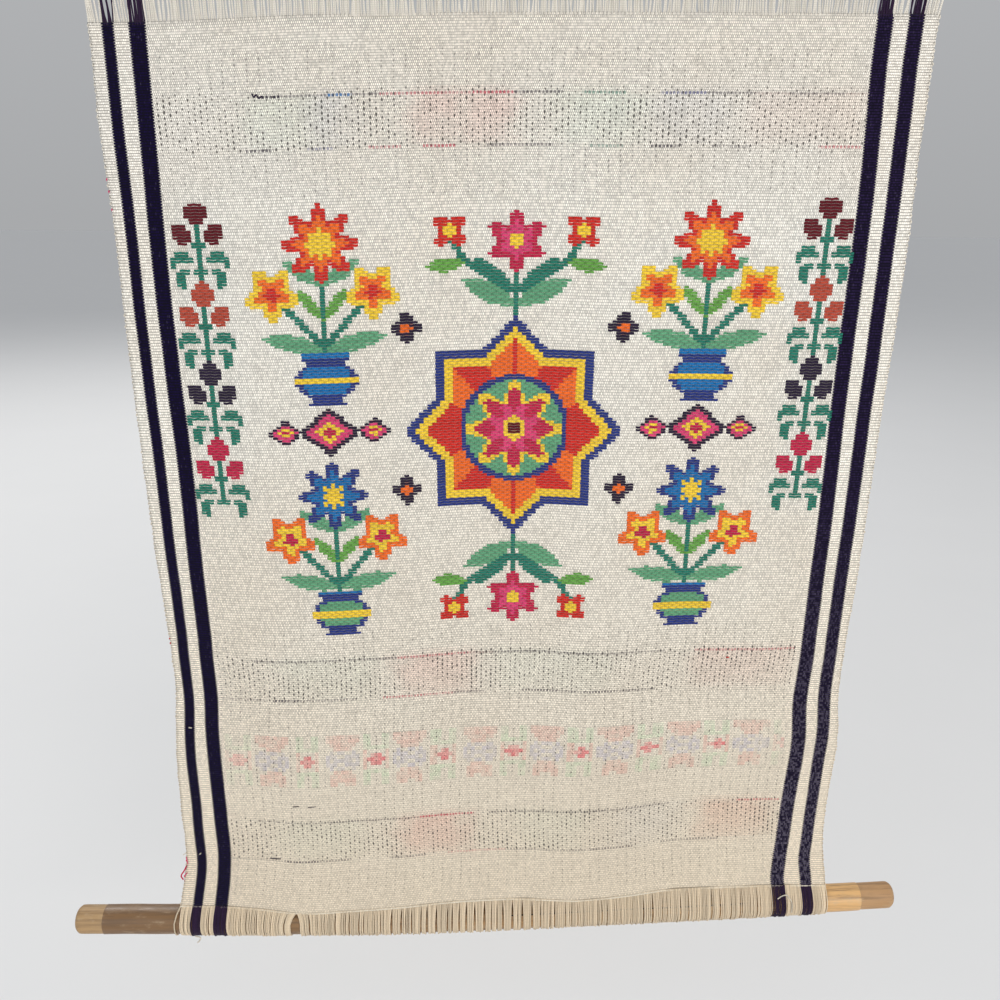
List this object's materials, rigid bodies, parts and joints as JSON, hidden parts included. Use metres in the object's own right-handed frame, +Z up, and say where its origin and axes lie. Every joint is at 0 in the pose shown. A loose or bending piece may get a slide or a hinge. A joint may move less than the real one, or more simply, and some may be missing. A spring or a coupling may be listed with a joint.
{
  "type": "woven wall hanging with rod in its lower loops",
  "caption": "Striped, brocaded handwoven panel that hangs by its free top warp ends, with its lower warp loops closed round a natural wooden rod.",
  "frame": {"origin": "middle of the top edge, where the free warp ends are held", "axes": "+Z up the cloth, +Y through the cloth towards the wall, so the face looks towards -Y, +X to the viewer's right"},
  "size_m": [0.5822, 0.0233, 0.6278],
  "materials": {
    "cream_cotton": "matte",
    "rod_wood": "satin"
  },
  "bodies": {
    "root": {"cloth": "cream_cotton", "top_warp_ends": "cream_cotton", "bottom_warp_loops": "cream_cotton", "rod": "rod_wood"}
  },
  "joints": []
}
